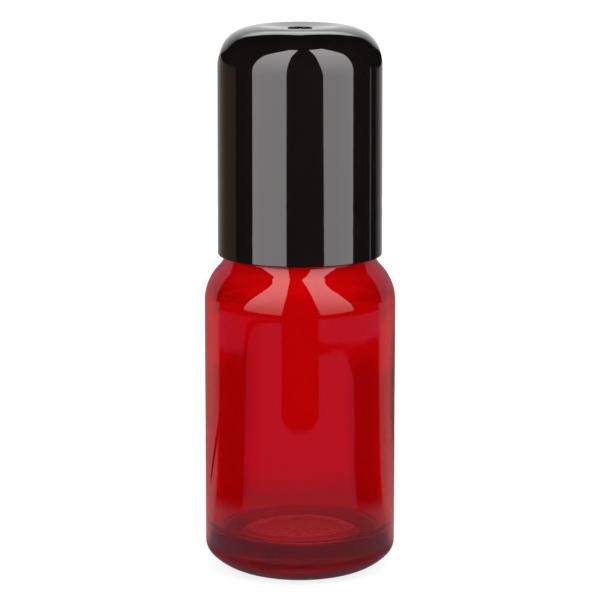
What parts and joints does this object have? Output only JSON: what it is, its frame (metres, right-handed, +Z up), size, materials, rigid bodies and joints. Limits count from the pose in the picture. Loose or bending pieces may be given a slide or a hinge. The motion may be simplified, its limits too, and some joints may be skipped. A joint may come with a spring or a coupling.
{
  "type": "roll-on bottle",
  "caption": "Small red glass roll-on bottle with a tall round-topped black screw cap over a roller ball in a press-in housing.",
  "frame": {"origin": "centre of the base, on the plane that the bottle stands on", "axes": "+Z up along the bottle's axis, +X to the right and -Y towards the viewer of the picture"},
  "size_m": [0.025, 0.025, 0.0718],
  "materials": {
    "red_glass": "clear glass with a translucent red lacquer on the outside",
    "housing_plastic": "natural translucent polyethylene",
    "ball_steel": "polished stainless steel",
    "liner_foam": "closed-cell polyethylene foam",
    "cap_plastic": "glossy injection-moulded black"
  },
  "bodies": {
    "bottle": {"glass_bottle": "red_glass", "ball_housing": "housing_plastic"},
    "ball": {"roller_ball": "ball_steel"},
    "seal": {"sealing_liner": "liner_foam"},
    "cap": {"screw_cap": "cap_plastic"}
  },
  "joints": [
    {"name": "ball_roll", "type": "hinge", "parent": "bottle", "child": "ball", "pos_m": [0, 0, 0.0627], "axis": [1, 0, 0], "continuous": true},
    {"name": "cap_lift", "type": "slide", "parent": "bottle", "child": "seal", "axis": [0, 0, 1], "range_m": [0, 0.03]},
    {"name": "cap_turn", "type": "hinge", "parent": "seal", "child": "cap", "pos_m": [0, 0, 0.0698], "axis": [0, 0, 1], "range_deg": [0, 3600]}
  ],
  "couplings": [
    {"joint": "cap_lift", "follows": "cap_turn", "m_per_rad": 0.00047746}
  ]
}
